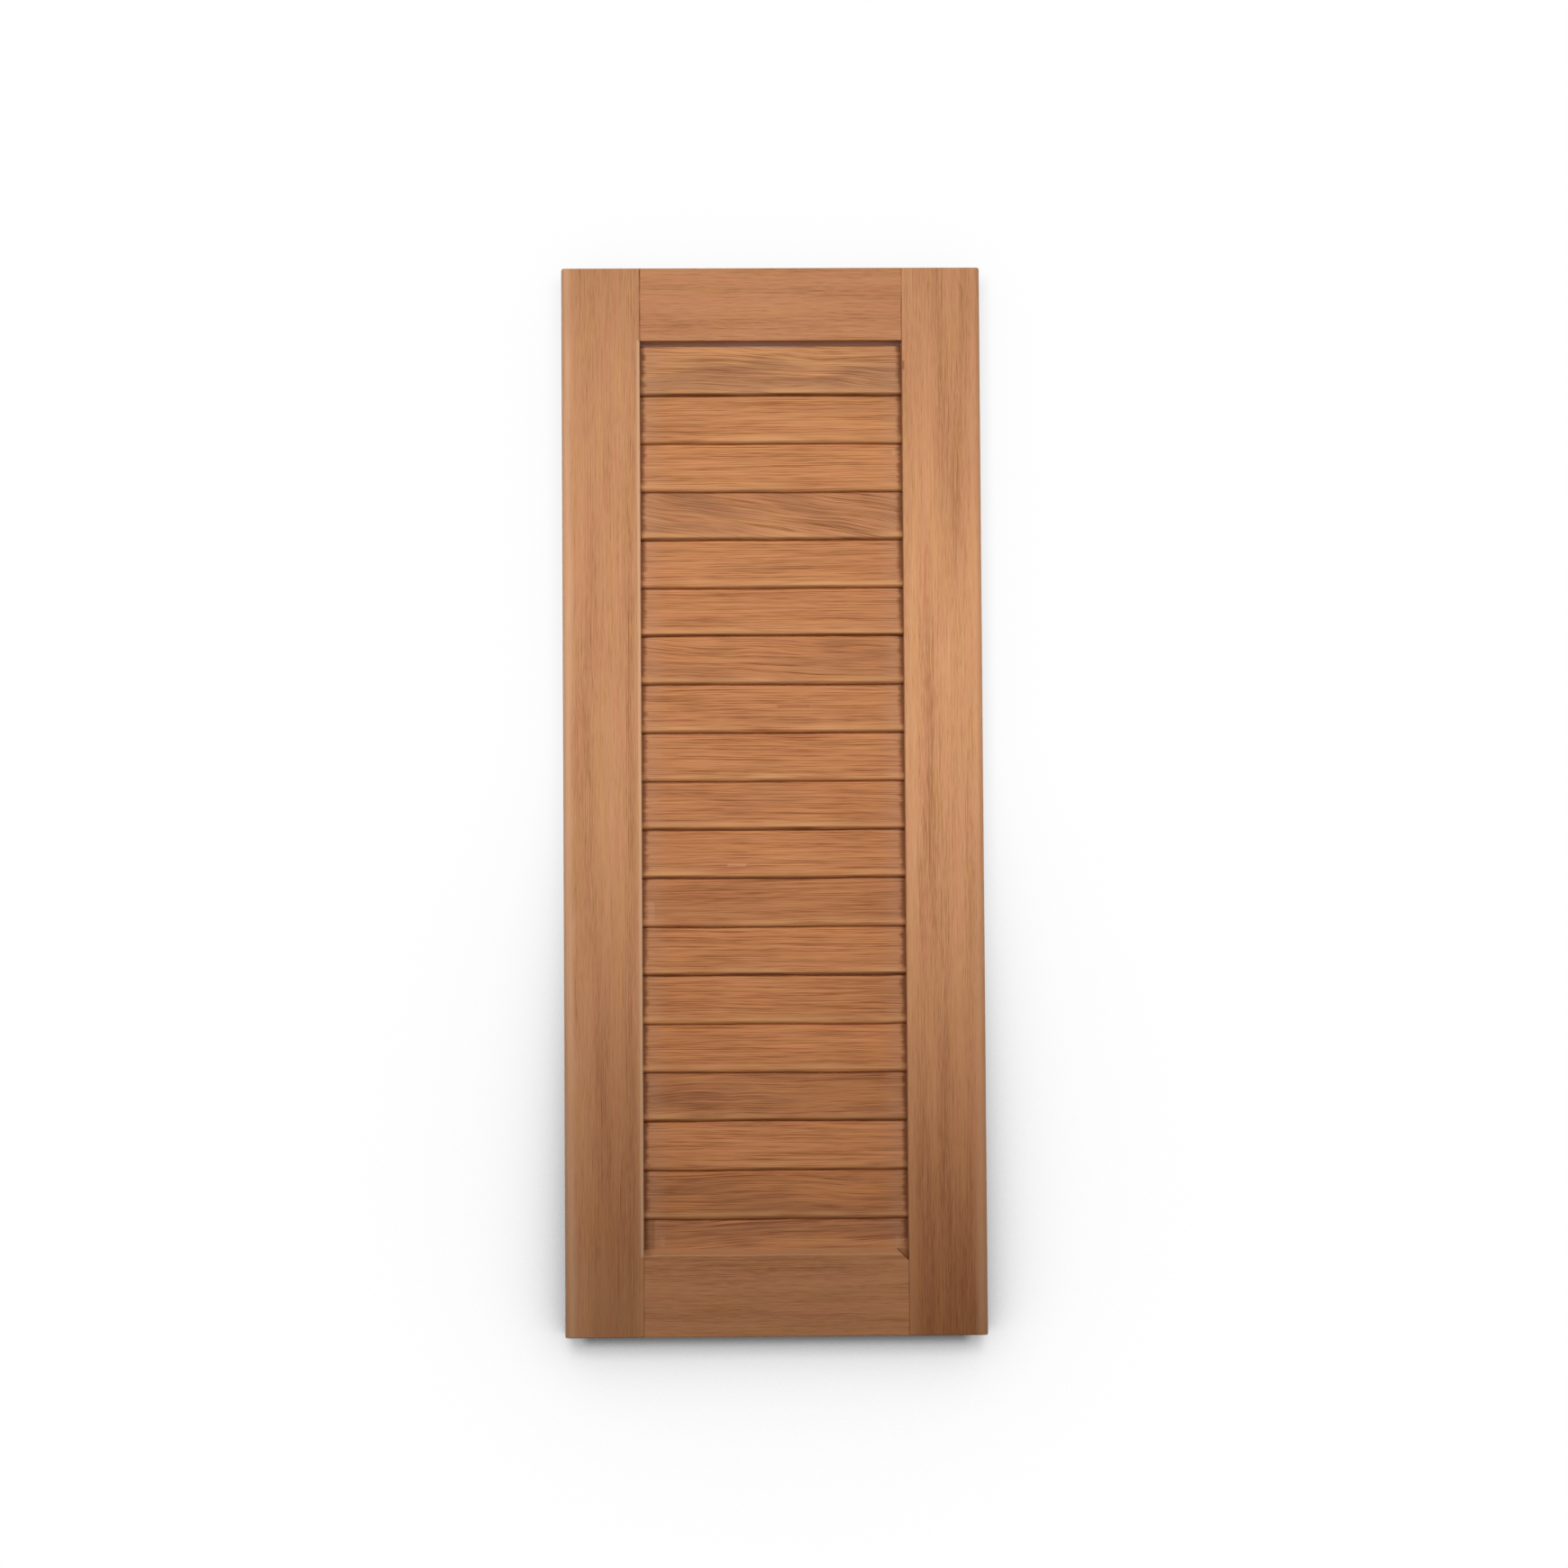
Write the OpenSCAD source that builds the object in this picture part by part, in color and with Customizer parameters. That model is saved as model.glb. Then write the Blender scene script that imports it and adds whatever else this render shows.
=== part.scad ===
// Fixed-louvre wooden shutter panel.
// X runs across the panel, Y from front to back, Z up. The origin is under the middle of the panel.

/* [Panel] */
// Overall width of the panel
panel_width = 305; // [220:1:600]
// Overall height of the panel
panel_height = 775; // [400:1:1200]
// Thickness of the frame from front to back
panel_depth = 27; // [24:0.5:45]

/* [Frame] */
// Face width of each stile
stile_width = 57; // [45:0.5:90]
// Face height of the top rail
top_rail_height = 53.5; // [45:0.5:120]
// Face height of the bottom rail, measured at the front face
bottom_rail_height = 59; // [50:0.5:150]
// Fall of the bottom rail's weathered top towards the front, in degrees
sill_slope = 20; // [0:1:30]
// Radius on the outer long edges of the stiles
outer_edge_radius = 5; // [1:0.5:8]
// Radius on the outer corners of the panel, seen from the front
corner_radius = 1.5; // [0.5:0.5:6]
// Radius on all other frame edges, as left by sanding
arris_radius = 0.8; // [0.3:0.1:2]

/* [Slats] */
// Distance from one slat to the next
slat_pitch = 35.2; // [32:0.1:60]
// Width of a slat across its sloping face
slat_width = 38; // [30:0.5:60]
// Thickness of a slat
slat_thickness = 5.5; // [4.5:0.5:6]
// Lean of the slats from upright, in degrees, lower edge forward
slat_tilt = 11; // [10:1:20]
// Radius on the long edges of a slat
slat_edge_radius = 2.2; // [0.5:0.1:2.2]
// Air gap between the top rail and the first slat
top_gap = 1; // [0.5:0.1:10]
// Least height of the lowest slat above the bottom rail
lowest_slat_height = 10; // [6:1:25]

/* [Joinery] */
// Depth of the housings that hold the slat ends
housing_depth = 8; // [5:0.5:15]
// Room around a slat in its housing and above the bottom rail
slat_clearance = 0.15; // [0.05:0.05:0.3]
// Diameter of the rail dowels
dowel_diameter = 10; // [6:0.5:12]
// Length of the rail dowels
dowel_length = 60; // [40:1:80]
// Chamfer on the ends of the dowels
dowel_chamfer = 1; // [0.5:0.1:2]
// Distance between the two dowels of one joint
dowel_spacing = 26; // [20:1:40]
// Glue room around a dowel in its bore
dowel_clearance = 0.1; // [0.05:0.05:0.3]
// Glue room past each end of a dowel
dowel_end_room = 1.5; // [0.5:0.5:5]

/* [Wear] */
// Width of the broken corner at the right end of the bottom rail
chip_width = 4.5; // [1:0.5:10]
// Drop of the broken corner down the end of the bottom rail
chip_drop = 4.5; // [1:0.5:10]
// Depth of the broken corner from the front face
chip_depth = 9; // [2:0.5:12]

/* [Hidden] */
// How far a cutting shape reaches past the face that it cuts
overcut = 1;
// How far an easing circle reaches past the faces that it eases, so that it crosses them cleanly
crossing = 0.002;
$fn = 48;

opening_width = panel_width - 2 * stile_width;
opening_top = panel_height - top_rail_height;
joint_x = opening_width / 2;
front_y = -panel_depth / 2;

slat_rise = slat_width * cos(slat_tilt) + slat_thickness * sin(slat_tilt);
slat_length = opening_width + 2 * (housing_depth - slat_clearance);
slat_room = opening_top - bottom_rail_height - top_gap - lowest_slat_height;
slat_count = floor(slat_room / slat_pitch) + 1;

top_rail_middle = opening_top + top_rail_height / 2;
bottom_rail_middle = bottom_rail_height / 2;
sill_rise = panel_depth * tan(sill_slope);

stile_colour = [0.78, 0.57, 0.41];
rail_colour = [0.74, 0.51, 0.36];
slat_colour = [0.71, 0.48, 0.33];
dowel_colour = [0.86, 0.73, 0.56];

function slat_name(i) = str("slat_", i < 9 ? "0" : "", i + 1);
function slat_middle(i) = opening_top - top_gap - slat_rise / 2 - i * slat_pitch;
function heading(v) = atan2(v.y, v.x);

// Waste outside a radius in a corner at the origin, between the X axis and a line at the given angle
module corner_waste(radius, angle) {
  reach = radius / tan(angle / 2);
  difference() {
    polygon([[0, 0], [reach, 0], [reach, radius], reach * [cos(angle), sin(angle)]]);
    translate([reach, radius]) circle(radius + crossing);
  }
}

// Outline with a radius of its own on each corner; the points run anticlockwise
module eased_outline(points, radii) {
  count = len(points);
  difference() {
    polygon(points);
    for (i = [0:count - 1]) {
      ahead = heading(points[(i + 1) % count] - points[i]);
      behind = heading(points[(i + count - 1) % count] - points[i]);
      translate(points[i])
        rotate(ahead)
          corner_waste(radii[i], (behind - ahead + 360) % 360);
    }
  }
}

// Corners of a rectangle, anticlockwise from the lower left
function rectangle(low, high) = [low, [high.x, low.y], high, [low.x, high.y]];

// Draws a section given in depth and height, run along X about the middle of the panel
module along_x(length) {
  rotate([90, 0, 90])
    linear_extrude(height = length, center = true)
      children();
}

// Everything under the sill line, in depth and height
module below_sill(lift) {
  translate([front_y, bottom_rail_height + lift])
    rotate(sill_slope)
      translate([-panel_depth, -2 * slat_width])
        square([3 * panel_depth, 2 * slat_width]);
}

// Section of one slat, grown all round by the given room and trimmed where it meets the sill
module slat_section(i, room) {
  half = [slat_thickness / 2 + room, slat_width / 2 + room];
  difference() {
    translate([0, slat_middle(i)])
      rotate(-slat_tilt)
        eased_outline(rectangle(-half, half), [for (k = [0:3]) slat_edge_radius + room]);
    below_sill(slat_clearance - room);
  }
}

// One slat, with its ends in the housings
module slat(i) {
  color(slat_colour)
    along_x(slat_length)
      slat_section(i, 0);
}

// A shape repeated at the two dowel places of one joint
module at_joint(side, middle) {
  for (step = [-1, 1])
    translate([side * joint_x, 0, middle + step * dowel_spacing / 2])
      rotate([0, 90, 0])
        children();
}

// Bores for the dowels of one joint
module dowel_bores(side, middle) {
  at_joint(side, middle)
    cylinder(
      d = dowel_diameter + 2 * dowel_clearance,
      h = dowel_length + 2 * dowel_end_room,
      center = true
    );
}

// One dowel with chamfered ends
module dowel() {
  radius = dowel_diameter / 2;
  half = dowel_length / 2;
  rotate_extrude()
    polygon([
      [0, -half],
      [radius - dowel_chamfer, -half],
      [radius, -half + dowel_chamfer],
      [radius, half - dowel_chamfer],
      [radius - dowel_chamfer, half],
      [0, half]
    ]);
}

// The eight dowels that hold the rails to the stiles
module rail_dowels() {
  color(dowel_colour)
    for (side = [-1, 1])
      for (middle = [top_rail_middle, bottom_rail_middle])
        at_joint(side, middle)
          dowel();
}

// Left stile before it is housed and bored: its plan, its side and its face cut to one board
module stile_board() {
  outer_x = -panel_width / 2;
  inner_x = outer_x + stile_width;
  plan = rectangle([outer_x, front_y], [inner_x, -front_y]);
  side = rectangle([front_y, 0], [-front_y, panel_height]);
  face = rectangle([outer_x, 0], [inner_x + overcut, panel_height]);
  intersection() {
    linear_extrude(height = panel_height)
      eased_outline(plan, [outer_edge_radius, arris_radius, arris_radius, outer_edge_radius]);
    along_x(2 * panel_width)
      eased_outline(side, [for (k = [0:3]) arris_radius]);
    rotate([90, 0, 0])
      linear_extrude(height = 2 * panel_depth, center = true)
        eased_outline(face, [corner_radius, arris_radius, arris_radius, corner_radius]);
  }
}

// Left stile with an angled housing for every slat and the bores for the rail dowels
module stile() {
  housing_length = housing_depth + overcut;
  difference() {
    stile_board();
    for (i = [0:slat_count - 1])
      translate([-joint_x - housing_depth + housing_length / 2, 0, 0])
        along_x(housing_length)
          slat_section(i, slat_clearance);
    dowel_bores(-1, top_rail_middle);
    dowel_bores(-1, bottom_rail_middle);
  }
}

module left_stile() {
  color(stile_colour)
    stile();
}

module right_stile() {
  color(stile_colour)
    mirror([1, 0, 0])
      stile();
}

module top_rail() {
  section = rectangle([front_y, opening_top], [-front_y, panel_height]);
  color(rail_colour)
    difference() {
      along_x(opening_width)
        eased_outline(section, [for (k = [0:3]) arris_radius]);
      for (side = [-1, 1])
        dowel_bores(side, top_rail_middle);
    }
}

// Broken corner where the bottom rail's sill meets the right stile, split off along one sloping plane
module corner_chip() {
  above = sill_rise + overcut;
  lean = chip_width / chip_drop;
  translate([joint_x, front_y + chip_depth, bottom_rail_height])
    rotate([90, 0, 0])
      linear_extrude(height = chip_depth + overcut)
        polygon([
          [-chip_width - above * lean, above],
          [overcut, -chip_drop - overcut / lean],
          [overcut, above]
        ]);
}

// Bottom rail with its top sloping down to the front
module bottom_rail() {
  section = [
    [front_y, 0],
    [-front_y, 0],
    [-front_y, bottom_rail_height + sill_rise],
    [front_y, bottom_rail_height]
  ];
  color(rail_colour)
    difference() {
      along_x(opening_width)
        eased_outline(section, [for (k = [0:3]) arris_radius]);
      for (side = [-1, 1])
        dowel_bores(side, bottom_rail_middle);
      corner_chip();
    }
}

left_stile();
right_stile();
top_rail();
bottom_rail();
rail_dowels();
for (i = [0:slat_count - 1])
  slat(i);
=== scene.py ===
# %% [markdown]
# # A louvred shutter in unfinished red cedar
# The shutter is one frame of two upright stiles and two rails, filled with slats that lap each
# other like roof shingles. The packed CAD model gives every board its true place and size. This
# lesson adds what a drawing leaves out: slats that are a little bowed and hand-planed, and wood
# that has grain, tone and wear of its own on every board.

# %% Load the packed frame
import math
import random

import bmesh
import bpy
from mathutils import Euler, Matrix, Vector


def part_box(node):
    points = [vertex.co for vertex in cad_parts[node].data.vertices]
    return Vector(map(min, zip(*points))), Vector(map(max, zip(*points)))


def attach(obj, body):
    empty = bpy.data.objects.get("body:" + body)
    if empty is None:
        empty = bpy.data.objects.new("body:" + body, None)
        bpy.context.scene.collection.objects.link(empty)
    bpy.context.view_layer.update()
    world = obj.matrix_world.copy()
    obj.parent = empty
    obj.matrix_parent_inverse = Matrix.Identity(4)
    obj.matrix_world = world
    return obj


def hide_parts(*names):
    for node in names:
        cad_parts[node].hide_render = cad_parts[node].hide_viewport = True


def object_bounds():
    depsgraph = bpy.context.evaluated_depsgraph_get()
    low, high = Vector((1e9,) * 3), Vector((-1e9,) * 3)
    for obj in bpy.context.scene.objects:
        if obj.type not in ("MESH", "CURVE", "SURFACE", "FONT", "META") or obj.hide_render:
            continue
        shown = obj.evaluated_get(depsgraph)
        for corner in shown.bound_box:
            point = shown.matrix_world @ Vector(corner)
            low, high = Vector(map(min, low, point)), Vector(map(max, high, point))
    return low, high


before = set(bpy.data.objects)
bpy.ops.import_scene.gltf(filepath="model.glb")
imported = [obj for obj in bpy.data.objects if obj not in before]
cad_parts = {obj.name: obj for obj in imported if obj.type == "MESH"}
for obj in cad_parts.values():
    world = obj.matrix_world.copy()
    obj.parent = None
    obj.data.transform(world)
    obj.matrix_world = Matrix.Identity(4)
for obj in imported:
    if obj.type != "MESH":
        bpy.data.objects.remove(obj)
cad_low, cad_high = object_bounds()
MM = 0.001
SLAT_NAMES = sorted(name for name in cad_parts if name.startswith("slat_"))
print("boards:", len(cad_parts), "slats:", len(SLAT_NAMES), "height:", round(cad_high.z, 4))

# %% [markdown]
# ## Sizes
# A maker marks out from a few sizes, and so does this script. Most of them are read from the
# frame, so that they can't drift from the CAD model. The lean and the section of a slat can't be
# read from its box alone, and they are given here as they are cut.

# %% Sizes of the frame and the slats
SLAT_TILT = math.radians(11)
SLAT_WIDTH = 38 * MM
SLAT_THICKNESS = 5.5 * MM
SLAT_EDGE_RADIUS = 2.2 * MM
SILL_SLOPE = math.radians(20)
SEAT_CLEARANCE = 0.15 * MM


def middle_height(node):
    """Height of the middle of a CAD piece."""
    return sum(corner.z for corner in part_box(node)) / 2


panel_height = cad_high.z
front_y = cad_low.y
opening_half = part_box("top_rail")[1].x
slat_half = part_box(SLAT_NAMES[0])[1].x
sill_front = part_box("bottom_rail")[1].z - (cad_high.y - cad_low.y) * math.tan(SILL_SLOPE)
slat_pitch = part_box(SLAT_NAMES[0])[1].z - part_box(SLAT_NAMES[1])[1].z
first_middle = middle_height(SLAT_NAMES[0])


def slat_middle(index):
    """Height of the middle of a slat, counted from the top."""
    return first_middle - index * slat_pitch


print("slat pitch:", round(slat_pitch / MM, 2), "mm; sill at", round(sill_front / MM, 2), "mm")

# %% [markdown]
# ## One slat, modelled as it is planed
# A slat could stay a flat board with four rounded edges, but real ones are thin: they bow between
# the stiles, and the plane leaves them a little uneven. That shows in the dark line under each
# slat, which is never quite straight. So one slat is shaped from a cube: its long edges are
# bevelled round, and cuts along and across give it enough points to bend.

# %% Tools for modelling by hand
STRAIGHT_ENOUGH = 0.9


def deselect_everything():
    """Leaves edit mode and clears the selection, so that an operator meets only what is meant."""
    if bpy.context.mode != "OBJECT":
        bpy.ops.object.mode_set(mode="OBJECT")
    bpy.ops.object.select_all(action="DESELECT")


def work_on(piece):
    """Makes one piece the only selected and active object."""
    deselect_everything()
    piece.select_set(True)
    bpy.context.view_layer.objects.active = piece


def select_edges(piece, rule):
    """In edit mode, selects the edges whose two ends satisfy the rule."""
    mesh = bmesh.from_edit_mesh(piece.data)
    bpy.ops.mesh.select_all(action="DESELECT")
    chosen = [edge for edge in mesh.edges if rule(edge.verts[0].co, edge.verts[1].co)]
    for edge in chosen:
        edge.select_set(True)
    mesh.select_flush_mode()
    bmesh.update_edit_mesh(piece.data)


def runs_along(axis):
    """A rule for edges that run along one axis."""
    return lambda start, end: abs((end - start)[axis]) > STRAIGHT_ENOUGH * (end - start).length


print("tools ready in", bpy.context.mode, "mode")

# %% Shape the blank slat
CUTS_ALONG = 68
CUTS_ACROSS = 10
EDGE_SEGMENTS = 5

deselect_everything()
bpy.ops.mesh.primitive_cube_add(size=1)
blank = bpy.context.object
blank.name = "slat_blank"
blank.scale = (2 * slat_half, SLAT_THICKNESS, SLAT_WIDTH)
bpy.ops.object.transform_apply(location=False, rotation=False, scale=True)
bpy.ops.object.mode_set(mode="EDIT")
bpy.ops.mesh.select_mode(type="EDGE")
select_edges(blank, runs_along(0))
bpy.ops.mesh.bevel(offset=SLAT_EDGE_RADIUS, segments=EDGE_SEGMENTS, profile=0.5)
select_edges(blank, runs_along(0))
bpy.ops.mesh.subdivide(number_cuts=CUTS_ALONG)
wide_face = SLAT_WIDTH / 2 - SLAT_EDGE_RADIUS
select_edges(blank, lambda start, end: abs(end.z - start.z) > wide_face)
bpy.ops.mesh.subdivide(number_cuts=CUTS_ACROSS)
bpy.ops.object.mode_set(mode="OBJECT")
print("blank slat:", len(blank.data.polygons), "faces")

# %% [markdown]
# ## Bow and planing marks
# Two vertex groups say how freely each part of a slat may move. The ends sit in housings in the
# stiles and stay put; the middle of the span is free. Displace modifiers then do the rest: a
# plain push bows the slat, and cloud textures give it slow waves and small ripples.

# %% Vertex groups and textures for the uneven surface
END_FADE = 12 * MM


def smooth_step(value):
    """Eases a value between 0 and 1."""
    value = min(max(value, 0.0), 1.0)
    return value * value * (3 - 2 * value)


span = blank.vertex_groups.new(name="span")
shown = blank.vertex_groups.new(name="shown")
for vertex in blank.data.vertices:
    reach = min(abs(vertex.co.x) / opening_half, 1.0)
    span.add([vertex.index], 1 - reach * reach, "REPLACE")
    inside = (opening_half - abs(vertex.co.x)) / END_FADE
    shown.add([vertex.index], smooth_step(inside), "REPLACE")


def clouds(name, size, depth):
    """A procedural cloud texture for a Displace modifier."""
    texture = bpy.data.textures.new(name, "CLOUDS")
    texture.noise_scale = size
    texture.noise_depth = depth
    return texture


slow_wave = clouds("slow_wave", 70 * MM, 0)
plane_ripple = clouds("plane_ripple", 9 * MM, 1)
print("free points:", sum(1 for v in blank.data.vertices if abs(v.co.x) < opening_half))

# %% Set every slat in its place
WAVE_HEIGHT = 1.0 * MM
RIPPLE_HEIGHT = 0.28 * MM
LARGEST_BOW = 0.35 * MM
chance = random.Random(19)


def push(piece, name, group, strength, direction, texture=None):
    """Adds a Displace modifier that acts through a vertex group, and applies it."""
    work_on(piece)
    modifier = piece.modifiers.new(name, "DISPLACE")
    modifier.vertex_group = group
    modifier.strength = strength
    modifier.direction = direction
    modifier.mid_level = 0.5 if texture else 0.0
    modifier.texture_coords = "LOCAL"
    modifier.texture = texture
    bpy.ops.object.modifier_apply(modifier=name)


def set_slat(index):
    """Copies the blank, leans it, puts it at its height and gives it its own bow and ripples."""
    work_on(blank)
    bpy.ops.object.duplicate(linked=False)
    piece = bpy.context.object
    piece.name = f"louvre_{index + 1:02d}"
    piece.rotation_euler = (-SLAT_TILT, 0, 0)
    piece.location = (0, 0, slat_middle(index))
    bpy.ops.object.transform_apply(location=True, rotation=True, scale=True)
    # The first slat bows only upwards, which keeps the gap under the top rail narrow.
    bow = chance.uniform(-LARGEST_BOW, LARGEST_BOW)
    push(piece, "bow", "span", abs(bow) if index == 0 else bow, "Z")
    push(piece, "wave", "shown", WAVE_HEIGHT, "Z", slow_wave)
    push(piece, "ripple", "shown", RIPPLE_HEIGHT, "NORMAL", plane_ripple)
    return piece


slats = [set_slat(index) for index in range(len(SLAT_NAMES))]
print("slats set:", len(slats))

# %% [markdown]
# The lowest slat meets the sloping top of the bottom rail. On the bench its lower edge is trimmed
# to that slope. Bisect does the same here: it cuts along a plane, throws the waste away and fills
# the cut.

# %% Trim the lowest slat to the sill
SMOOTH_ANGLE = math.radians(40)


def trim_to_sill(piece):
    """Cuts off what lies under the sill plane."""
    work_on(piece)
    bpy.ops.object.mode_set(mode="EDIT")
    bpy.ops.mesh.select_all(action="SELECT")
    bpy.ops.mesh.bisect(
        plane_co=(0, front_y, sill_front + SEAT_CLEARANCE),
        plane_no=(0, -math.sin(SILL_SLOPE), math.cos(SILL_SLOPE)),
        use_fill=True,
        clear_inner=True,
    )
    bpy.ops.object.mode_set(mode="OBJECT")


trim_to_sill(slats[-1])
bpy.data.objects.remove(blank)
for piece, node in zip(slats, SLAT_NAMES):
    work_on(piece)
    bpy.ops.object.shade_smooth_by_angle(angle=SMOOTH_ANGLE)
    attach(piece, "root")
    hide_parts(node)
print("lowest slat trimmed to", len(slats[-1].data.polygons), "faces")

# %% [markdown]
# ## Wood as arithmetic
# Grain is the same few noises stretched along the board. Writing that with node sockets is long,
# so one small class wraps a socket: arithmetic on it adds Math nodes, and one method adds any
# other node.

# %% A socket that does sums
class Wire:
    """One output socket in a material. Sums with numbers or other wires add Math nodes."""

    def __init__(self, tree, socket=None):
        self.tree = tree
        self.socket = socket

    def add(self, kind, settings=None, inputs=None, out=0):
        """Adds a node, sets it up, joins its inputs and returns one of its outputs."""
        node = self.tree.nodes.new(kind)
        for name, value in (settings or {}).items():
            if name == "stops":
                ramp = node.color_ramp.elements
                while len(ramp) < len(value):
                    ramp.new(0.5)
                for element, (position, colour) in zip(ramp, value):
                    element.position = position
                    element.color = (*colour, 1)
            else:
                setattr(node, name, value)
        for name, value in (inputs or {}).items():
            socket = node.inputs[name]
            if isinstance(value, Wire):
                self.tree.links.new(value.socket, socket)
            else:
                socket.default_value = value
        return Wire(self.tree, node.outputs[out] if node.outputs else None)

    def sums(self, operation, first, second):
        """Adds one Math node."""
        return self.add("ShaderNodeMath", {"operation": operation}, {0: first, 1: second})

    def __add__(self, other):
        return self.sums("ADD", self, other)

    __radd__ = __add__

    def __sub__(self, other):
        return self.sums("SUBTRACT", self, other)

    def __rsub__(self, other):
        return self.sums("SUBTRACT", other, self)

    def __mul__(self, other):
        return self.sums("MULTIPLY", self, other)

    __rmul__ = __mul__

    def __abs__(self):
        return self.sums("ABSOLUTE", self, 0.0)


def fade(value, low, high):
    """0 below low, 1 above high, eased between; low may be the larger."""
    return value.add(
        "ShaderNodeMapRange",
        {"interpolation_type": "SMOOTHSTEP"},
        {"Value": value, "From Min": low, "From Max": high},
    )


def blend(amount, first, second, how="MIX"):
    """Mixes two colours by an amount."""
    return amount.add(
        "ShaderNodeMix",
        {"data_type": "RGBA", "blend_type": how},
        {"Factor": amount, 6: first, 7: second},
        out=2,
    )


print("a wire can do:", [name for name in vars(Wire) if name.startswith("__r")])

# %% [markdown]
# ## Red cedar
# Fresh cedar is pink-brown, with short darker lines along the grain and slow changes from gold to
# rose to smoky grey. A photograph wrapped on the boards would be quick, but it would repeat and
# would show its edges; noise never does. A Board knows where its middle is and how it is turned,
# so that its first axis always runs along the grain, and it has a number of its own, so that no
# two boards are alike.

# %% A board and its grain
PALER = (1.22, 1.29, 1.38)
DARKER = (0.52, 0.40, 0.29)
ROSE = (1.02, 0.96, 0.99, 1)
GOLD = (1.02, 1.02, 0.93, 1)
SMOKE = (0.55, 0.53, 0.62, 1)
# Dark brown for grime in the joints and the crack, and also used as painted shade.
GRIME_AND_SHADE = (0.172, 0.050, 0.010, 1)
MARK_SOFTNESS = 1.5 * MM
DRIFT_SIZE = (80 * MM, 40 * MM, 26 * MM)
LINE_SIZE = (65 * MM, 3 * MM, 0.6 * MM)
BLUSH_EDGE = 0.2
NOISE_STEPS = (3.7, 5.3, 9.1)
RELIEF = 0.07 * MM
ROUGHNESS = 0.62
ROUGHNESS_SPREAD = 0.3
SPECULAR_LEVEL = 0.25


def tinted(colour, tint):
    """A colour with each channel multiplied by a tint."""
    return tuple(part * factor for part, factor in zip(colour, tint))


class Board:
    """The finish of one board: it is grown in one colour, painted with marks, and finished."""

    def __init__(self, name, middle, turn, number, wander=1 * MM, slope=0.0):
        self.material = bpy.data.materials.new(name)
        self.material.use_nodes = True
        self.number = number
        start = Wire(self.material.node_tree)
        self.place = start.add(
            "ShaderNodeMapping",
            {"vector_type": "POINT"},
            {
                "Vector": start.add("ShaderNodeTexCoord", out="Object"),
                "Location": -(Euler(turn).to_matrix() @ Vector(middle)),
                "Rotation": turn,
            },
        )
        self.along, self.deep, self.across = (
            start.add("ShaderNodeSeparateXYZ", None, {"Vector": self.place}, out=axis)
            for axis in "XYZ"
        )
        drift = self.noise(DRIFT_SIZE, 0, place=self.place)
        line = self.across - self.along * slope + drift * (2 * wander)
        self.grain = start.add("ShaderNodeCombineXYZ", None, {0: self.along, 1: self.deep, 2: line})

    def noise(self, size, shift, detail=1.0, place=None):
        """Noise about -0.5 to 0.5, in patches of a given length, depth and width.

        The shift is a number that tells the noises of one board apart.
        """
        place = place or self.grain
        step_along, step_deep, step_across = NOISE_STEPS
        stretched = place.add(
            "ShaderNodeVectorMath",
            {"operation": "MULTIPLY_ADD"},
            {
                0: place,
                1: tuple(1 / side for side in size),
                2: (self.number * step_along + shift, shift * step_deep, self.number * step_across),
            },
        )
        return place.add(
            "ShaderNodeTexNoise",
            {"noise_dimensions": "3D"},
            {"Vector": stretched, "Scale": 1.0, "Detail": detail},
        ) - 0.5

    def grow(self, colour, zones, streaks, flecks, zone_width=6 * MM, fleck_length=20 * MM):
        """Grows cedar that has this colour on average, with soft zones, streaks and short flecks."""
        bands = self.noise((20 * zone_width, 2 * zone_width, zone_width), 1)
        self.lines = self.noise(LINE_SIZE, 2)
        self.fibre = self.noise((fleck_length, 1 * MM, 0.45 * MM), 3)
        depth = 0.5 + bands * zones + self.lines * streaks + self.fibre * flecks
        stops = [(0.0, tinted(colour, PALER)), (0.5, tuple(colour)), (1.0, tinted(colour, DARKER))]
        self.body = depth.add("ShaderNodeValToRGB", {"stops": stops}, {"Fac": depth})
        blush = self.noise((70 * MM, 12 * MM, 0.6 * zone_width), 4)
        self.paint(fade(blush, 0.0, BLUSH_EDGE), ROSE, "MULTIPLY")
        self.paint(fade(blush, 0.0, -BLUSH_EDGE), GOLD, "MULTIPLY")

    def paint(self, mask, colour, how="MIX"):
        """Puts a colour over the body where the mask is 1."""
        self.body = blend(mask, self.body, colour, how)

    def spot(self, along, across, length, width, soft):
        """A mask for one soft-edged patch on the front of the board."""
        in_length = fade(abs(self.along - along), length / 2 + soft, length / 2)
        in_width = fade(abs(self.across - across), width / 2 + soft, width / 2)
        return in_length * in_width * fade(self.deep, 1 * MM, -1 * MM)

    def mark(self, rows):
        """Paints small marks, each a row of along, across, length and width in mm, colour, strength."""
        for along, across, length, width, colour, strength in rows:
            patch = self.spot(along * MM, across * MM, length * MM, width * MM, soft=MARK_SOFTNESS)
            self.paint(patch * strength, colour)

    def finish(self):
        """Joins colour, roughness and relief to the shader."""
        shader = self.material.node_tree.nodes["Principled BSDF"]
        bump = self.along.add("ShaderNodeBump", None, {"Distance": RELIEF, "Height": self.fibre * -1.0})
        for socket, wire in (
            ("Base Color", self.body),
            ("Roughness", ROUGHNESS + self.lines * ROUGHNESS_SPREAD),
            ("Normal", bump),
        ):
            wire.tree.links.new(wire.socket, shader.inputs[socket])
        shader.inputs["Specular IOR Level"].default_value = SPECULAR_LEVEL
        return self.material


print("a board has:", [name for name in vars(Board) if not name.startswith("__")])
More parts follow.
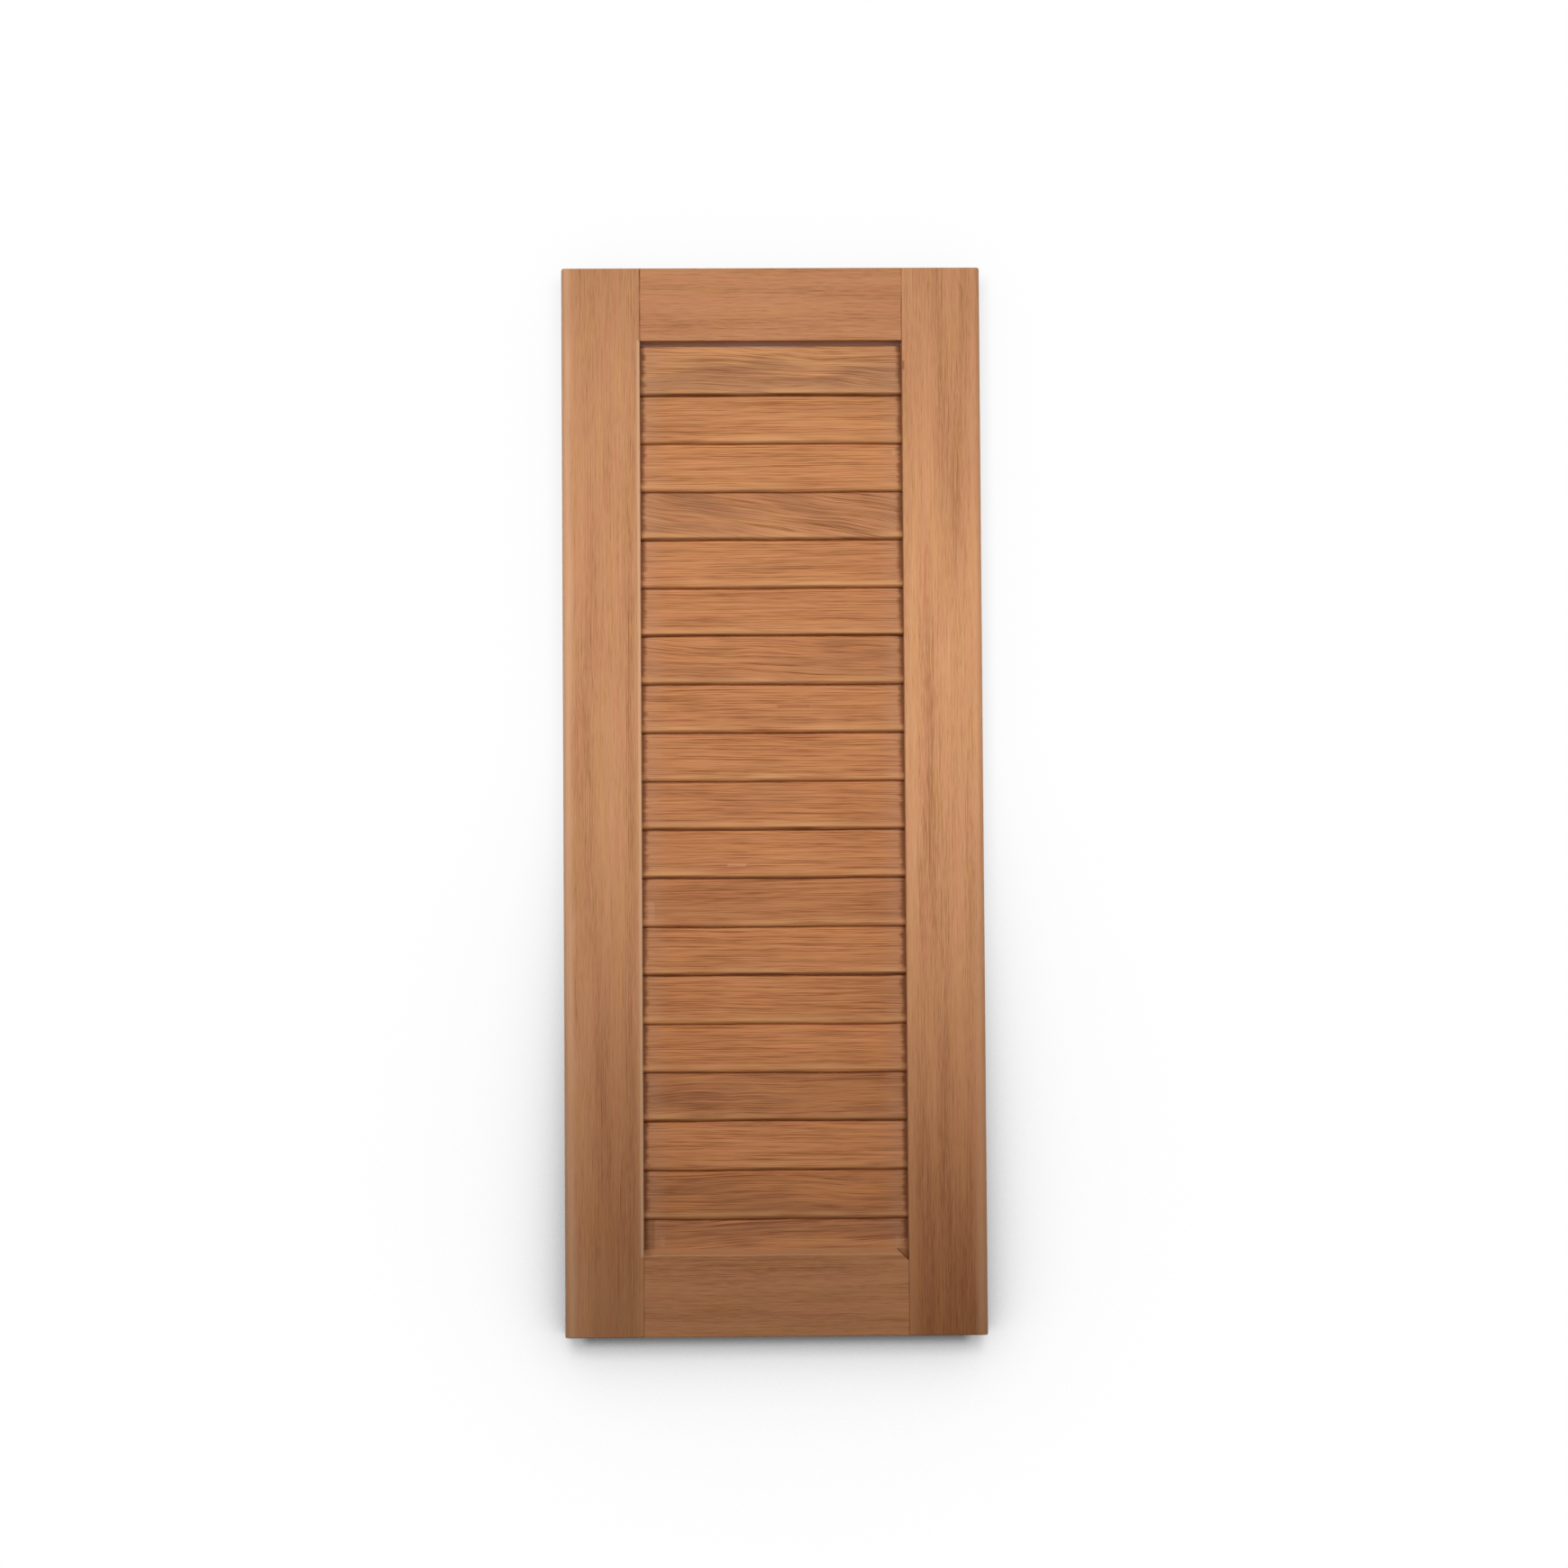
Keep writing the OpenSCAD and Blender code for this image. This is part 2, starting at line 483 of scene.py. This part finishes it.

# %% [markdown]
# ## The slats' wood
# The slats come from many boards. Higher ones are paler, lower ones deeper and redder. A few are
# cut where the grain runs out at a slope, and they carry smoky figure. Every slat gets painted shade
# with some grime where it goes into the stile, painted shade along its lower edge, a painted
# highlight just above that edge, and painted light at the top, where the slat above would shade it.
# A few have a scratch, a chip or a red streak, and the lowest has painted shade in its left corner.
# Each of these marks is a row of along, across, length and width in millimetres, a colour and a
# strength.

# %% Colours and marks of the slats
SLAT_CEDAR = Vector((0.490, 0.191, 0.068))
TOP_TINT = Vector((1.08, 1.16, 1.18))
FOOT_TINT = Vector((1.11, 1.06, 0.96))
DEEPER = (0.94, 0.93, 0.93)
SLAT_TINTS = dict.fromkeys(range(5, 12), DEEPER) | {
    1: (1.11, 1.21, 1.34),
    4: (0.91, 0.94, 1.02),
    12: (0.88, 0.86, 0.85),
    16: (0.88, 0.88, 0.90),
    17: (1.08, 1.11, 1.18),
    19: (1.02, 1.07, 1.20),
}
PLAIN_SLAT = {"slope": 0.0, "smoke": 0.12, "sink": 4}
FIGURED_SLATS = {
    1: {"slope": -0.05, "smoke": 0.62, "sink": 24},
    4: {"slope": -0.15, "smoke": 0.50, "sink": 0},
    7: {"slope": -0.05, "smoke": 0.42, "sink": 4},
    10: {"slope": 0.00, "smoke": 0.25, "sink": 0},
    16: {"slope": 0.02, "smoke": 0.45, "sink": 0},
    18: {"slope": 0.00, "smoke": 0.45, "sink": 8},
    19: {"slope": 0.03, "smoke": 0.40, "sink": -6},
}
PALE_WOOD = (0.72, 0.45, 0.27, 1)
RED_STREAK = (0.30, 0.085, 0.025, 1)
MARKS = {
    3: [(91, 10, 4, 1.0, PALE_WOOD, 0.35)],
    8: [(15, 0, 22, 0.8, RED_STREAK, 0.5)],
    11: [(-27, -10, 12, 0.4, PALE_WOOD, 0.3)],
    12: [(-89, -8, 3, 13, PALE_WOOD, 0.14)],
    19: [
        (-82, 0, 2, 6, PALE_WOOD, 0.12),
        (88, -1, 2, 6, PALE_WOOD, 0.12),
        # Painted shade in the corner by the left stile and the sill.
        (-92, 0, 7, 30, GRIME_AND_SHADE, 0.35),
    ],
}
# How much painted shade each slat has along its lower edge, added to a random amount.
LIP_SHADE = {
    1: 0.40, 4: 0.10, 5: -0.30, 6: 0.45, 7: 0.40, 9: -0.15,
    10: 0.35, 11: 0.10, 13: 0.40, 14: -0.30, 16: 0.65,
}
ASHEN = (0.440, 0.250, 0.145, 1)
RUBBED = (0.650, 0.315, 0.145, 1)
LIP_HIGHLIGHT = (0.700, 0.345, 0.138, 1)
# Lightens: faded wood on the stiles, and painted light on the tops of the slats.
FADED_AND_LIT = (1.22, 1.27, 1.34, 1)
print("figured slats:", list(FIGURED_SLATS), "marked slats:", list(MARKS))

# %% Dress the slats
LEAST_TONE = 0.97
MOST_TONE = 1.03
GRAIN_SLOPE = 0.012
FIGURE_WANDER = 9 * MM
FLAME_SIZE = (60 * MM, 20 * MM, 9 * MM)
FLAME_LOW = -0.12
FLAME_FULL = 0.16
END_PATCHES = (14 * MM, 9 * MM, 3 * MM)
END_WANDER = 6 * MM
EDGE_RUNS = (40 * MM, 9 * MM, 9 * MM)
ASHEN_ENDS = 0.25
END_SHADE_AND_GRIME = 0.75
HIGHLIGHT_RUNS = 1.4
LIP_SHADE_RUNS = 1.6
LARGEST_LIP_SHADE = 0.5


def slat_colour(index):
    """The colour of a slat, counted from the top."""
    tint = TOP_TINT.lerp(FOOT_TINT, index / (len(slats) - 1))
    tone = chance.uniform(LEAST_TONE, MOST_TONE)
    own_tint = SLAT_TINTS.get(index + 1, (1, 1, 1))
    return tinted(SLAT_CEDAR * tone, tinted(tint, own_tint))


def wear_and_shade_slat(board, lower_edge, lip_highlight, lip_shade):
    """Grey wood, grime and painted shade at the ends, painted light at the top, a painted highlight and
    painted shade at the lower edge.
    """
    patches = board.noise(END_PATCHES, 6)
    reach = abs(board.along) + patches * END_WANDER
    board.paint(fade(reach, opening_half - 20 * MM, opening_half - 7 * MM) * ASHEN_ENDS, ASHEN)
    # Painted shade with some grime where the slat goes into the stile.
    board.paint(fade(reach, opening_half - 5 * MM, opening_half - 1 * MM) * END_SHADE_AND_GRIME, GRIME_AND_SHADE)
    runs = board.noise(EDGE_RUNS, 7)
    # The top of the slat is painted lighter, to take away the shadow of the slat above.
    board.paint(fade(board.across, 6 * MM, 17 * MM), FADED_AND_LIT, "MULTIPLY")
    from_edge = board.across - lower_edge
    # A painted highlight just above the lower edge, where the rounded edge catches the light.
    board.paint(fade(from_edge, 7 * MM, 3 * MM) * (lip_highlight + runs * HIGHLIGHT_RUNS), LIP_HIGHLIGHT)
    # Painted shade along the lower edge, deepening the dark line under the slat.
    board.paint(fade(from_edge, 2.0 * MM, 0.7 * MM) * (lip_shade + runs * LIP_SHADE_RUNS), GRIME_AND_SHADE)


sill_at_slat = sill_front - front_y * math.tan(SILL_SLOPE)
for index, piece in enumerate(slats):
    figure = FIGURED_SLATS.get(index + 1, PLAIN_SLAT)
    board = Board(
        f"slat_cedar_{index + 1:02d}",
        (0, 0, slat_middle(index)),
        (SLAT_TILT, 0, 0),
        index + 1,
        wander=FIGURE_WANDER * figure["smoke"],
        slope=figure["slope"] + chance.uniform(-GRAIN_SLOPE, GRAIN_SLOPE),
    )
    board.grow(slat_colour(index), zones=0.5, streaks=1.75, flecks=1.2)
    flame = board.noise(FLAME_SIZE, 5, detail=2.0) - board.across * figure["sink"]
    board.paint(fade(flame, FLAME_LOW, FLAME_FULL) * figure["smoke"], SMOKE, "MULTIPLY")
    lip_shade = chance.uniform(0.0, LARGEST_LIP_SHADE) + LIP_SHADE.get(index + 1, 0.0)
    if piece is slats[-1]:
        wear_and_shade_slat(board, sill_at_slat - slat_middle(index), lip_highlight=0.2, lip_shade=0.0)
    else:
        wear_and_shade_slat(board, -SLAT_WIDTH / 2, lip_highlight=0.3, lip_shade=lip_shade)
    board.mark(MARKS.get(index + 1, []))
    piece.data.materials.clear()
    piece.data.materials.append(board.finish())
print("slats dressed:", len(slats))

# %% [markdown]
# ## The frame's wood
# The stiles and rails are calmer boards with little contrast. They could be modelled again, as the
# slats were, but their CAD shape is already right, with every edge eased. So they stay and only get
# a finish, grown by the same Board as the slats' wood.

# %% Colours and tools for the frame
STILE_CEDAR = Vector((0.562, 0.259, 0.113))
RAIL_CEDAR = Vector((0.525, 0.226, 0.094))
UPRIGHT_GRAIN = (0, math.radians(90), 0)
LEVEL_GRAIN = (0, 0, 0)
FOOT_STAIN_AND_SHADE = (0.72, 0.59, 0.48, 1)
END_GRAIN = (0.70, 0.62, 0.56, 1)
SILL_LIT_WOOD = (0.78, 0.43, 0.22, 1)
RIM_HIGHLIGHT = (0.80, 0.44, 0.25, 1)
JOINT_PATCHES = (9 * MM, 9 * MM, 14 * MM)
JOINT_CONTRAST = 2


def frame_board(node, turn, number, colour):
    """A calm board for one piece of the frame, already grown."""
    low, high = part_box(node)
    board = Board(f"{node}_cedar", (low + high) / 2, turn, number)
    board.grow(
        colour, zones=0.75, streaks=0.7, flecks=0.7, zone_width=13 * MM, fleck_length=10 * MM
    )
    return board


def fit(node, board):
    """Puts a finish on a CAD piece."""
    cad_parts[node].material_slots[0].material = board.finish()


def grime_joints(board, strength):
    """A dirty line, here and there, where the ends of a rail butt against the stiles."""
    patchy = 0.5 + board.noise(JOINT_PATCHES, 8) * JOINT_CONTRAST
    line = fade(abs(board.along), opening_half - 1.0 * MM, opening_half - 0.3 * MM)
    board.paint(line * patchy * strength, GRIME_AND_SHADE)


print("boards of the frame:", [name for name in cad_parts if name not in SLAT_NAMES])

# %% [markdown]
# The stiles are darker towards the foot, partly stained and partly with painted shade, rubbed pale
# along their edges and darker on their ends, where the grain drinks more dirt. Their outer rims carry
# a painted highlight, strongest on the left one, which has another on its inner arris. The right one
# has a short crack at its inner edge. The crack is too thin to be cut into the mesh, so it is painted
# like the other marks.

# %% Dress the stiles
SCUFF_TOP = 75 * MM
SCUFF_FULL = 25 * MM
BLEACH_MIDDLE = -60 * MM
BLEACH_REACH = 340 * MM
BLEACH_FULL = 150 * MM
EDGE_RUB = 0.3
DARK_BAND = -6 * MM
BAND_STAIN = 0.27
RIM_WIDTH = 10 * MM
RIM_FULL = 2 * MM
RIM_SPREAD = 2 * MM
RIM_WANDER = 6 * MM
RIM_GRAIN = 1.5
RIM_PATCHES = (60 * MM, 9 * MM, 9 * MM)
CRACK = (316, 27.5, 5, 0.1, GRIME_AND_SHADE, 0.6)

foot = -panel_height / 2
opening_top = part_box("top_rail")[0].z
opening_middle = (opening_top + sill_front - panel_height) / 2
opening_reach = (opening_top - sill_front) / 2
stile_half = (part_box("left_stile")[1].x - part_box("left_stile")[0].x) / 2


def dress_stile(node, number, outer, tone, foot_stain_and_shade, scuff, bleach, arris_highlight, rim_highlight, fading=0.0, marks=()):
    """Wood for one stile.

    Outer is the sign of its outer side, and rim_highlight has one strength of the painted highlight
    for the top and one for the foot. Tone multiplies the colour, and the others say how strong each
    kind of wear, stain, painted shade and painted highlight is.
    """
    board = frame_board(node, UPRIGHT_GRAIN, number, STILE_CEDAR * tone)
    lower = fade(board.along, 0.0, foot)
    # Darker towards the foot: partly a stain, partly painted shade where the light falls off.
    board.paint(lower * foot_stain_and_shade, FOOT_STAIN_AND_SHADE, "MULTIPLY")
    board.paint(fade(board.along, foot + SCUFF_TOP, foot + SCUFF_FULL) * scuff, RUBBED)
    bleached = fade(abs(board.along - BLEACH_MIDDLE), BLEACH_REACH, BLEACH_FULL)
    board.paint(bleached * bleach, FADED_AND_LIT, "MULTIPLY")
    near_edge = fade(abs(board.across), stile_half - 9 * MM, stile_half - 1 * MM)
    board.paint(near_edge * EDGE_RUB, RUBBED)
    outwards = board.across * outer
    board.paint(lower * fade(outwards, 2 * MM, 18 * MM) * fading, FADED_AND_LIT, "MULTIPLY")
    dark_band = fade(abs(outwards - DARK_BAND), 11 * MM, 2 * MM)
    board.paint(lower * dark_band * (BAND_STAIN * fading), FOOT_STAIN_AND_SHADE, "MULTIPLY")
    # A painted highlight on the inner arris beside the slats.
    beside_slats = fade(abs(board.along - opening_middle), opening_reach + 2 * MM, opening_reach)
    inner_arris_highlight = fade(outwards, 3.0 * MM - stile_half, 1.4 * MM - stile_half)
    board.paint(inner_arris_highlight * beside_slats * arris_highlight, PALE_WOOD)
    # A painted highlight along the outer rim, where the rounded edge turns towards the white room.
    rim_top, rim_foot = rim_highlight
    highlight_reach = outwards + lower * RIM_SPREAD + board.noise(RIM_PATCHES, 9) * RIM_WANDER
    strength = (rim_top + lower * (rim_foot - rim_top)) * (1 + board.lines * RIM_GRAIN)
    board.paint(fade(highlight_reach, stile_half - RIM_WIDTH, stile_half - RIM_FULL) * strength, RIM_HIGHLIGHT)
    board.paint(fade(abs(board.along), -foot - 0.6 * MM, -foot - 0.1 * MM), END_GRAIN, "MULTIPLY")
    board.mark(marks)
    fit(node, board)


dress_stile(
    "left_stile",
    31,
    outer=1,
    tone=1.01,
    foot_stain_and_shade=0.65,
    scuff=0.2,
    bleach=0.0,
    arris_highlight=0.6,
    rim_highlight=(0.8, 0.6),
    fading=0.95,
)
dress_stile(
    "right_stile",
    37,
    outer=-1,
    tone=1.05,
    foot_stain_and_shade=1.0,
    scuff=0.0,
    bleach=0.55,
    arris_highlight=0.0,
    rim_highlight=(0.1, 0.4),
    marks=[CRACK],
)
print("stiles dressed, each", round(2 * stile_half / MM, 1), "mm wide")

# %% [markdown]
# The rails butt against the stiles, and dirt gathers in the joints. The underside of the top rail
# gets painted shade. The top of the bottom rail is a sloping sill, painted lighter where it faces up,
# with a dark red line along its edge, painted shade at its left end and a broken corner darkened with
# painted shade. One mask for each of these is worked out from the board's own sizes, which is surer
# than painting by hand. The dowels are hidden in their bores and get plain wood.

# %% Dress the rails and the dowels
TOP_RAIL_TONE = 1.04
BOTTOM_RAIL_TONE = 1.12
CHIP_SIZE = 4.5 * MM
CHIP_DEPTH = 9 * MM
UNDERSIDE_SHADE = 0.6
SILL_LIGHT = 0.38
SILL_GRAIN = 0.9
SILL_END_SHADE = 0.4
EDGE_LINE = 0.28
EDGE_LINE_SPREAD = 0.8
EDGE_LINE_DROP = 2.6 * MM
EDGE_LINE_PATCHES = (30 * MM, 9 * MM, 3 * MM)

board = frame_board("top_rail", LEVEL_GRAIN, 41, RAIL_CEDAR * TOP_RAIL_TONE)
underside = opening_top - middle_height("top_rail")
# Painted shade on the underside of the top rail, which faces down.
below = fade(board.across, underside + 0.7 * MM, underside + 0.2 * MM)
board.paint(below * UNDERSIDE_SHADE, GRIME_AND_SHADE)
board.paint(fade(board.across, -underside - 0.7 * MM, -underside - 0.2 * MM), END_GRAIN, "MULTIPLY")
grime_joints(board, strength=1.1)
fit("top_rail", board)

board = frame_board("bottom_rail", LEVEL_GRAIN, 43, RAIL_CEDAR * BOTTOM_RAIL_TONE)
sill = sill_front - middle_height("bottom_rail")
above_slope = board.across - sill - (board.deep - front_y) * math.tan(SILL_SLOPE)
on_sill = fade(above_slope, -0.9 * MM, -0.2 * MM)
left_end = fade(board.along, 8 * MM - opening_half, 2 * MM - opening_half)
# The up-facing sill is painted lighter, as painted light from above.
board.paint(on_sill * (SILL_LIGHT + board.lines * SILL_GRAIN), SILL_LIT_WOOD)
# Painted shade at the sill's left end, in the corner by the stile.
board.paint(on_sill * left_end * SILL_END_SHADE, GRIME_AND_SHADE)
edge_line = EDGE_LINE + board.noise(EDGE_LINE_PATCHES, 6) * EDGE_LINE_SPREAD
under_edge = fade(abs(board.across - sill + EDGE_LINE_DROP), 2.4 * MM, 0.6 * MM)
board.paint(under_edge * edge_line, RED_STREAK)
# Painted shade in the broken corner at the sill's right end.
chip = board.along - opening_half + board.across - sill + CHIP_SIZE
in_chip = fade(board.deep - front_y, CHIP_DEPTH + 0.5 * MM, CHIP_DEPTH - 0.5 * MM)
board.paint(fade(chip, -0.8 * MM, -0.1 * MM) * in_chip, GRIME_AND_SHADE)
grime_joints(board, strength=0.4)
fit("bottom_rail", board)

fit("rail_dowels", frame_board("rail_dowels", LEVEL_GRAIN, 47, RAIL_CEDAR))
print("rails dressed; the sill starts at", round(sill_front / MM, 1), "mm")

# %% [markdown]
# ## A white sheet
# The shutter lies against a white sheet. The sheet is one-sided: from behind it lets the view
# and the light through, so the back of the shutter can be looked at too.

# %% The sheet behind the shutter
SHEET_SIZE = 8.0
SHEET_GAP = 0.5 * MM

deselect_everything()
bpy.ops.mesh.primitive_plane_add(size=SHEET_SIZE)
sheet = bpy.context.object
sheet.name = "white_sheet"
sheet.rotation_euler = (math.radians(90), 0, 0)
sheet.location = (0, cad_high.y + SHEET_GAP, panel_height / 2)
bpy.ops.object.transform_apply(location=True, rotation=True, scale=True)
print("sheet:", SHEET_SIZE, "m square,", SHEET_GAP / MM, "mm behind the shutter")

# %% [markdown]
# To the camera the sheet is white except close to the shutter, where less of the room's light gets
# in. The lamps could cast that shade, but it would then change with the light on the wood. So the
# sheet glows by itself where it is seen, and only the other rays meet it as matt paper.

# %% Which rays see the sheet, and where they meet it
def seen_rays(start):
    """1 for the rays that show a background: from the camera, or by way of a gloss or a glass."""
    seen = start.add("ShaderNodeLightPath", out="Is Camera Ray")
    for ray in ("Is Glossy Ray", "Is Transmission Ray"):
        seen = start.sums("MAXIMUM", seen, start.add("ShaderNodeLightPath", out=ray))
    return seen


sheet_material = bpy.data.materials.new("white_sheet")
sheet_material.use_nodes = True
sheet_tree = sheet_material.node_tree
sheet_tree.nodes.clear()
wire = Wire(sheet_tree)
seen = seen_rays(wire)
shadow_ray = wire.add("ShaderNodeLightPath", out="Is Shadow Ray")
back_side = wire.add("ShaderNodeNewGeometry", out="Backfacing")
position = wire.add("ShaderNodeTexCoord", out="Object")
side, height = (
    wire.add("ShaderNodeSeparateXYZ", None, {"Vector": position}, out=axis) for axis in "XZ"
)
print("nodes for the rays:", len(sheet_tree.nodes))

# %% [markdown]
# Ambient Occlusion measures how open the room is at each spot of the sheet, and a power of that says
# how deep the painted shade is: faint at the top, deeper towards the foot and deepest just under it.
# A painted dark line where the foot meets the sheet and thin strips of painted shade beside the upper
# half are laid over it.

# %% Shade round the shutter
SHADE_SAMPLES = 4
SHADE_REACH = 0.2
OPEN_ROOM = 1.02
LEAST_OPEN = 0.1
SHADE_HIGH = 0.08
SHADE_LOW = 1.15
SHADE_TOP = 0.45
SHADE_FOOT = 0.02
SHADE_UNDER = 0.85
UNDER_MIDDLE = -3 * MM
UNDER_REACH = 18 * MM
UNDER_FULL = 4 * MM
CONTACT_SHADE = 0.62
CONTACT_LOW = -10.5 * MM
CONTACT_FULL = -1.5 * MM
LEFT_SHADE = 0.05
RIGHT_SHADE = 0.11
STRIP_WIDTH = 13 * MM
STRIP_FOOT = 0.25
STRIP_FULL = 0.45

closeness = wire.add(
    "ShaderNodeAmbientOcclusion", {"samples": SHADE_SAMPLES}, {"Distance": SHADE_REACH}, out="AO"
)
openness = wire.sums("MAXIMUM", wire.sums("MINIMUM", closeness * OPEN_ROOM, 1.0), LEAST_OPEN)
depth = SHADE_HIGH + fade(height, SHADE_TOP, SHADE_FOOT) * (SHADE_LOW - SHADE_HIGH)
under = fade(abs(side), cad_high.x + 4 * MM, cad_high.x - 8 * MM)
under = under * fade(abs(height - UNDER_MIDDLE), UNDER_REACH, UNDER_FULL)
contact = fade(abs(side), cad_high.x - 8 * MM, cad_high.x - 18 * MM)
contact = contact * fade(height, CONTACT_LOW, CONTACT_FULL) * fade(height, 20 * MM, 5 * MM)
right = fade(side, cad_high.x + STRIP_WIDTH, cad_high.x) * fade(side, -1 * MM, 1 * MM)
left = fade(side, cad_low.x - STRIP_WIDTH, cad_low.x) * fade(side, 1 * MM, -1 * MM)
beside = (right * RIGHT_SHADE + left * LEFT_SHADE) * fade(height, STRIP_FOOT, STRIP_FULL)
beside = beside * fade(height, panel_height + 4 * MM, panel_height - 10 * MM)
shade = wire.sums("POWER", openness, depth + under * SHADE_UNDER)
shade = shade * (1 - contact * CONTACT_SHADE) * (1 - beside)
print("nodes with the shade:", len(sheet_tree.nodes))

# %% The sheet's shader
SHEET_BOUNCE = (0.75, 0.75, 0.75, 1)
paper = wire.add("ShaderNodeBsdfDiffuse", None, {"Color": SHEET_BOUNCE})
glow = wire.add("ShaderNodeEmission", None, {"Color": shade})
clear = wire.add("ShaderNodeBsdfTransparent")
front = wire.add("ShaderNodeMixShader", None, {0: seen, 1: paper, 2: glow})
see_through = wire.sums("MAXIMUM", back_side, shadow_ray)
skin = wire.add("ShaderNodeMixShader", None, {0: see_through, 1: front, 2: clear})
wire.add("ShaderNodeOutputMaterial", None, {"Surface": skin})
sheet.data.materials.append(sheet_material)
print("sheet's material:", sheet_material.name, "with", len(sheet_tree.nodes), "nodes")

# %% [markdown]
# ## Lamps
# Two soft beams from the front, left and right, light the shutter evenly and leave the thin dark
# line under each slat. They aim high, so the foot is a little dimmer. A weak lamp from above
# picks out the sill, and two lamps behind show the back when the view goes round. One strong lamp
# would be simpler, but a stile would then throw its shadow across the ends of the slats.

# %% The lamps
BEAM_PLACE = (0.60, -2.3, 0.78)
BEAM_TARGET = (0.0, 0.0, 0.52)
BEAM_ANGLE = 32.0
BEAM_POWER = 103.0
BEAM_SIZE = 0.40
BACK_PLACE = (1.6, 2.2, 0.3)
BACK_TARGET = (0.0, 0.0, 0.4)
BACK_POWER = 22.0
BACK_SIZE = 1.2
OVERHEAD_PLACE = (0.0, -0.8, 1.9)
OVERHEAD_TARGET = (0.0, 0.0, 0.3)
OVERHEAD_POWER = 6.0
OVERHEAD_SIZE = 1.0


def lamp(kind, name, place, target, power, size):
    """Adds a lamp that shines from a place at a target."""
    deselect_everything()
    bpy.ops.object.light_add(type=kind, location=place)
    made = bpy.context.object
    made.name = name
    made.rotation_euler = (Vector(target) - Vector(place)).to_track_quat("-Z", "Y").to_euler()
    made.data.energy = power
    if kind == "AREA":
        made.data.size = size
    else:
        made.data.shadow_soft_size = size
    return made.data


def to_side(place, sign):
    """A place mirrored to the left, -1, or kept on the right, 1."""
    x, y, z = place
    return (sign * x, y, z)


for sign, name in ((-1, "left"), (1, "right")):
    beam_place = to_side(BEAM_PLACE, sign)
    beam = lamp("SPOT", f"beam_{name}", beam_place, BEAM_TARGET, BEAM_POWER, BEAM_SIZE)
    beam.spot_size = math.radians(BEAM_ANGLE)
    beam.spot_blend = 1.0
    lamp("AREA", f"back_{name}", to_side(BACK_PLACE, sign), BACK_TARGET, BACK_POWER, BACK_SIZE)
lamp("AREA", "overhead", OVERHEAD_PLACE, OVERHEAD_TARGET, OVERHEAD_POWER, OVERHEAD_SIZE)

# %% [markdown]
# The room round the shutter is white where it is seen, and only a weak light to the wood.

# %% The world
WORLD_LIGHT = 0.08
world = bpy.data.worlds.new("pale_room")
bpy.context.scene.world = world
world.use_nodes = True
world.node_tree.nodes.clear()
wire = Wire(world.node_tree)
strength = WORLD_LIGHT + seen_rays(wire) * (1 - WORLD_LIGHT)
room = wire.add("ShaderNodeBackground", None, {"Color": (1, 1, 1, 1), "Strength": strength})
wire.add("ShaderNodeOutputWorld", None, {"Surface": room})
print("world:", world.name)

# %% [markdown]
# ## Camera
# The shutter is seen nearly straight on, from a little below its middle, with a long lens that
# keeps its sides parallel. A wide lens close by would make the slats fan out.

# %% The camera
CAMERA_PLACE = (-0.0576, -3.0, 0.25)
CAMERA_TURN = (92.842, 0.374, -1.232)
CAMERA_LENS = 94.77
SENSOR_WIDTH = 36.0
FAR_CLIP = 50.0

deselect_everything()
bpy.ops.object.camera_add(location=CAMERA_PLACE)
camera = bpy.context.object
camera.name = "photo_camera"
camera.rotation_euler = [math.radians(angle) for angle in CAMERA_TURN]
camera.data.lens = CAMERA_LENS
camera.data.sensor_width = SENSOR_WIDTH
camera.data.clip_end = FAR_CLIP
bpy.context.scene.camera = camera
bpy.context.scene.view_settings.view_transform = "Standard"
print("camera:", CAMERA_LENS, "mm lens")
